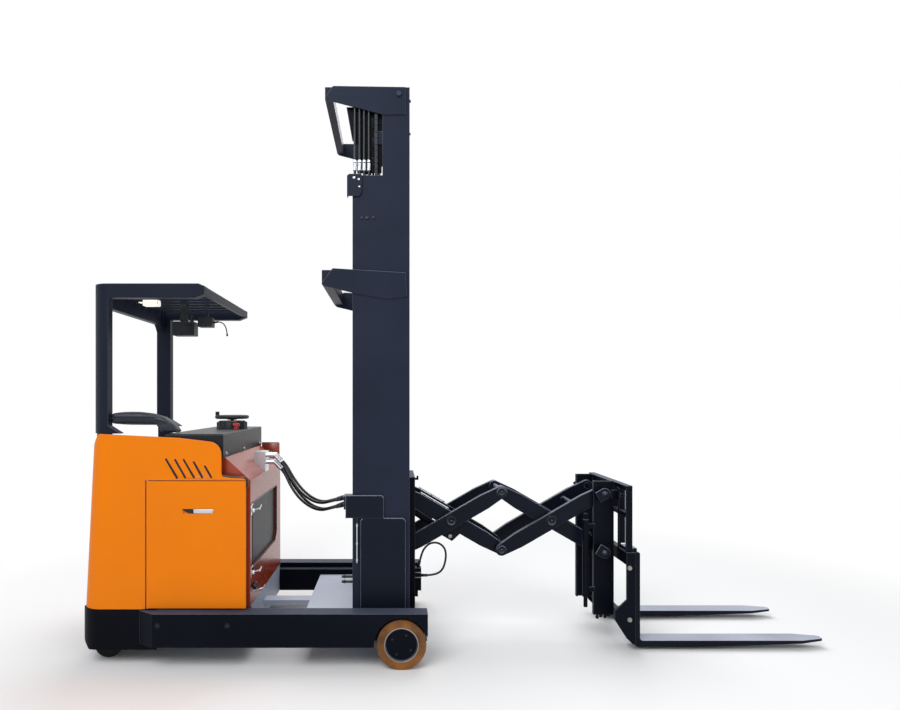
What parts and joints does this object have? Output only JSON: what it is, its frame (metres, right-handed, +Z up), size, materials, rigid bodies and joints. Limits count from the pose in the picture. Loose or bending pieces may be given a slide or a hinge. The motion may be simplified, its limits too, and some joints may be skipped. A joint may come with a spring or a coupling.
{
  "type": "reach truck",
  "caption": "Stand-on reach truck with outrigger legs, a telescopic mast and a double scissor that pushes the forks out.",
  "frame": {"origin": "on the floor under the middle of the truck's bounding box", "axes": "+X towards the fork tips, +Y to the truck's left, +Z up"},
  "size_m": [4.6, 1.27, 3.4979],
  "materials": {
    "orange_paint": "gloss powder coat",
    "hood_paint": "gloss powder coat",
    "mast_paint": "satin dark blue-black paint",
    "frame_paint": "satin black paint",
    "deck_steel": "satin grey paint",
    "skirt_plastic": "fine grain",
    "cover_grey": "satin grey paint",
    "console_plastic": "fine grain",
    "polyurethane": "cast polyurethane",
    "hub_black": "satin black paint",
    "tread_rubber": "solid tyre",
    "bright_steel": "ground steel",
    "chrome_rod": "hard chrome",
    "pad_vinyl": "padded vinyl",
    "mat_rubber": "ribbed rubber",
    "button_red": "moulded",
    "battery_case": "steel tray with cells",
    "hose_rubber": "hydraulic hose"
  },
  "bodies": {
    "chassis": {"leg_left": "frame_paint", "leg_right": "frame_paint", "chassis_frame": "deck_steel", "rear_skirt": "skirt_plastic", "operator_floor": "mat_rubber", "drive_cabinet": "frame_paint", "side_panel_left": "orange_paint", "side_panel_right": "orange_paint", "door_pins": "bright_steel", "battery_hood": "hood_paint", "battery_cover": "cover_grey", "battery": "battery_case", "hydraulic_manifold": "bright_steel", "control_console": "console_plastic", "steering_column": "console_plastic", "emergency_button": "button_red", "lean_pad": "pad_vinyl", "overhead_guard": "mast_paint", "mast_outer": "mast_paint", "mast_covers": "mast_paint", "lift_barrels": "frame_paint", "drive_mount": "frame_paint", "mast_lines": "hose_rubber", "guard_fittings": "console_plastic", "guard_lead": "hose_rubber", "hose_lift_right": "hose_rubber", "hose_lift_left": "hose_rubber", "hose_reach_right": "hose_rubber", "hose_reach_left": "hose_rubber"},
    "load_wheel_left": {"load_tyre_left": "polyurethane", "load_hub_left": "hub_black"},
    "load_wheel_right": {"load_tyre_right": "polyurethane", "load_hub_right": "hub_black"},
    "side_door": {"side_door": "orange_paint", "door_latch": "bright_steel"},
    "steering_wheel": {"steering_wheel": "console_plastic"},
    "mast_middle": {"mast_middle": "mast_paint", "lift_rods": "chrome_rod"},
    "mast_inner": {"mast_inner": "mast_paint", "free_lift_barrel": "frame_paint"},
    "free_lift_rod": {"free_lift_rod": "chrome_rod"},
    "reach_carriage": {"reach_carriage": "frame_paint", "reach_valve": "frame_paint", "hose_valve": "hose_rubber"},
    "arm_mast_inner": {"arm_mast_inner": "mast_paint"},
    "arm_mast_outer": {"arm_mast_outer": "mast_paint"},
    "arm_fork_outer": {"arm_fork_outer": "mast_paint"},
    "arm_fork_inner": {"arm_fork_inner": "mast_paint"},
    "reach_barrels": {"reach_barrels": "frame_paint"},
    "reach_rods": {"reach_rods": "chrome_rod"},
    "fork_carriage": {"fork_carriage": "frame_paint"},
    "fork_frame": {"fork_frame": "frame_paint", "load_backrest": "frame_paint"},
    "fork_left": {"fork_left": "frame_paint"},
    "fork_right": {"fork_right": "frame_paint"},
    "drive_unit": {"drive_unit": "frame_paint"},
    "drive_wheel": {"drive_tyre": "tread_rubber", "drive_hub": "hub_black"},
    "caster_bracket": {"caster_bracket": "frame_paint"},
    "caster_wheels": {"caster_wheels": "tread_rubber"}
  },
  "joints": [
    {"name": "load_wheel_left_roll", "type": "hinge", "parent": "chassis", "child": "load_wheel_left", "pos_m": [-0.381, 0.586, 0.145], "axis": [0, 1, 0], "continuous": true},
    {"name": "load_wheel_right_roll", "type": "hinge", "parent": "chassis", "child": "load_wheel_right", "pos_m": [-0.381, -0.586, 0.145], "axis": [0, 1, 0], "continuous": true},
    {"name": "drive_steer", "type": "hinge", "parent": "chassis", "child": "drive_unit", "pos_m": [-2.01, 0.265, 0.426], "axis": [0, 0, 1], "range_deg": [-90, 90]},
    {"name": "drive_roll", "type": "hinge", "parent": "drive_unit", "child": "drive_wheel", "pos_m": [-2.01, 0.265, 0.1715], "axis": [0, 1, 0], "continuous": true},
    {"name": "caster_swivel", "type": "hinge", "parent": "chassis", "child": "caster_bracket", "pos_m": [-2.132, -0.4, 0.22], "axis": [0, 0, 1], "continuous": true},
    {"name": "caster_roll", "type": "hinge", "parent": "caster_bracket", "child": "caster_wheels", "pos_m": [-2.172, -0.4, 0.085], "axis": [0, 1, 0], "continuous": true},
    {"name": "side_door_hinge", "type": "hinge", "parent": "chassis", "child": "side_door", "pos_m": [-1.889, -0.559, 0.714], "axis": [0, 0, -1], "range_deg": [0, 90]},
    {"name": "steering_wheel_turn", "type": "hinge", "parent": "chassis", "child": "steering_wheel", "pos_m": [-1.58, 0.2, 1.452], "axis": [0, 0, 1], "continuous": true},
    {"name": "mast_middle_lift", "type": "slide", "parent": "chassis", "child": "mast_middle", "axis": [0, 0, 1], "range_m": [0, 2.6]},
    {"name": "mast_inner_lift", "type": "slide", "parent": "mast_middle", "child": "mast_inner", "axis": [0, 0, 1], "range_m": [0, 2.6]},
    {"name": "carriage_lift", "type": "slide", "parent": "mast_inner", "child": "reach_carriage", "axis": [0, 0, 1], "range_m": [0, 2.3]},
    {"name": "free_lift_rod_slide", "type": "slide", "parent": "mast_inner", "child": "free_lift_rod", "axis": [0, 0, 1], "range_m": [0, 1.15]},
    {"name": "reach_fold", "type": "hinge", "parent": "reach_carriage", "child": "arm_mast_inner", "pos_m": [-0.377, 0, 0.97], "axis": [0, 1, 0], "range_deg": [0, 42]},
    {"name": "scissor_cross_mast", "type": "hinge", "parent": "arm_mast_inner", "child": "arm_mast_outer", "pos_m": [-0.04791, 0, 0.78], "axis": [0, 1, 0], "range_deg": [-84, 0]},
    {"name": "scissor_low_middle", "type": "hinge", "parent": "arm_mast_inner", "child": "arm_fork_outer", "pos_m": [0.28118, 0, 0.59], "axis": [0, 1, 0], "range_deg": [-84, 0]},
    {"name": "scissor_cross_fork", "type": "hinge", "parent": "arm_fork_outer", "child": "arm_fork_inner", "pos_m": [0.61027, 0, 0.78], "axis": [0, 1, 0], "range_deg": [0, 84]},
    {"name": "fork_carriage_level", "type": "hinge", "parent": "arm_fork_outer", "child": "fork_carriage", "pos_m": [0.93936, 0, 0.97], "axis": [0, 1, 0], "range_deg": [0, 42]},
    {"name": "reach_barrel_swing", "type": "hinge", "parent": "reach_carriage", "child": "reach_barrels", "pos_m": [-0.44, 0, 0.925], "axis": [0, 1, 0], "range_deg": [0, 42.04]},
    {"name": "reach_rod_slide", "type": "slide", "parent": "reach_barrels", "child": "reach_rods", "axis": [0.8382, 0, -0.5453], "range_m": [-0.0558, 0]},
    {"name": "fork_tilt", "type": "hinge", "parent": "fork_carriage", "child": "fork_frame", "pos_m": [1.044, 0, 0.96], "axis": [0, -1, 0], "range_deg": [0, 3]},
    {"name": "fork_left_slide", "type": "slide", "parent": "fork_frame", "child": "fork_left", "axis": [0, 1, 0], "range_m": [-0.19, 0.008]},
    {"name": "fork_right_slide", "type": "slide", "parent": "fork_frame", "child": "fork_right", "axis": [0, 1, 0], "range_m": [-0.008, 0.19]}
  ],
  "couplings": [
    {"joint": "mast_inner_lift", "follows": "mast_middle_lift", "ratio": 1},
    {"joint": "free_lift_rod_slide", "follows": "carriage_lift", "ratio": 0.5},
    {"joint": "scissor_cross_mast", "follows": "reach_fold", "ratio": -2},
    {"joint": "scissor_low_middle", "follows": "reach_fold", "ratio": -2},
    {"joint": "scissor_cross_fork", "follows": "reach_fold", "ratio": 2},
    {"joint": "fork_carriage_level", "follows": "reach_fold", "ratio": 1},
    {"joint": "reach_barrel_swing", "follows": "reach_fold", "ratio": 0.99864},
    {"joint": "reach_rod_slide", "follows": "reach_fold", "m_per_rad": -0.0757}
  ]
}
